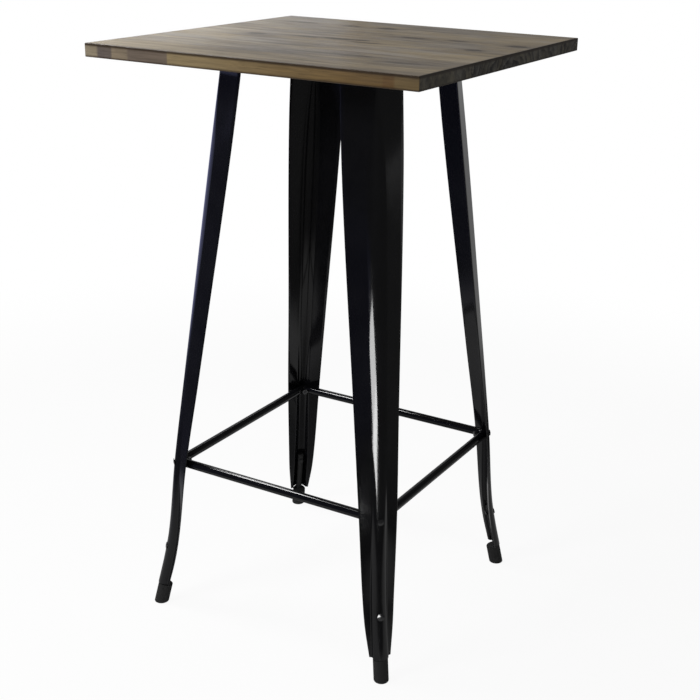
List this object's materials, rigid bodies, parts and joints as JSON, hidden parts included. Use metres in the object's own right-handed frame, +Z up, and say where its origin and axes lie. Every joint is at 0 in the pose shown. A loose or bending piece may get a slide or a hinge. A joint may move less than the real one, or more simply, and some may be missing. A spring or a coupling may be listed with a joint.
{
  "type": "pub table",
  "caption": "Square bar-height pub table: a stained solid wood stave top on splayed pressed-steel legs tied by a square tubular foot ring.",
  "frame": {"origin": "on the floor, under the middle of the top", "axes": "+Z up, -Y the front long-grain edge of the top, +X its right end-grain edge"},
  "size_m": [0.61, 0.61, 1.05],
  "materials": {
    "stained_wood": "grey-brown stained solid wood staves under a satin clear coat",
    "black_steel": "gloss black powder coat on pressed sheet and tube",
    "black_bolt": "blackened steel, domed heads",
    "zinc_steel": "dull zinc plate",
    "foot_rubber": "moulded black rubber, satin"
  },
  "bodies": {
    "root": {"apron_bolts": "black_bolt", "apron_nuts": "zinc_steel", "apron_rail_back": "black_steel", "apron_rail_front": "black_steel", "apron_rail_left": "black_steel", "apron_rail_right": "black_steel", "foot_bolts": "black_bolt", "foot_nuts": "zinc_steel", "foot_plug_back_left": "foot_rubber", "foot_plug_back_right": "foot_rubber", "foot_plug_front_left": "foot_rubber", "foot_plug_front_right": "foot_rubber", "foot_ring": "black_steel", "leg_back_left": "black_steel", "leg_back_right": "black_steel", "leg_front_left": "black_steel", "leg_front_right": "black_steel", "leg_plate_back_left": "black_steel", "leg_plate_back_right": "black_steel", "leg_plate_front_left": "black_steel", "leg_plate_front_right": "black_steel", "plate_screws": "zinc_steel", "rail_screws": "zinc_steel", "ring_bolts": "black_bolt", "ring_nuts": "zinc_steel", "top_stave_1": "stained_wood", "top_stave_2": "stained_wood", "top_stave_3": "stained_wood", "top_stave_4": "stained_wood", "top_stave_5": "stained_wood", "top_stave_6": "stained_wood", "top_stave_7": "stained_wood"}
  },
  "joints": []
}
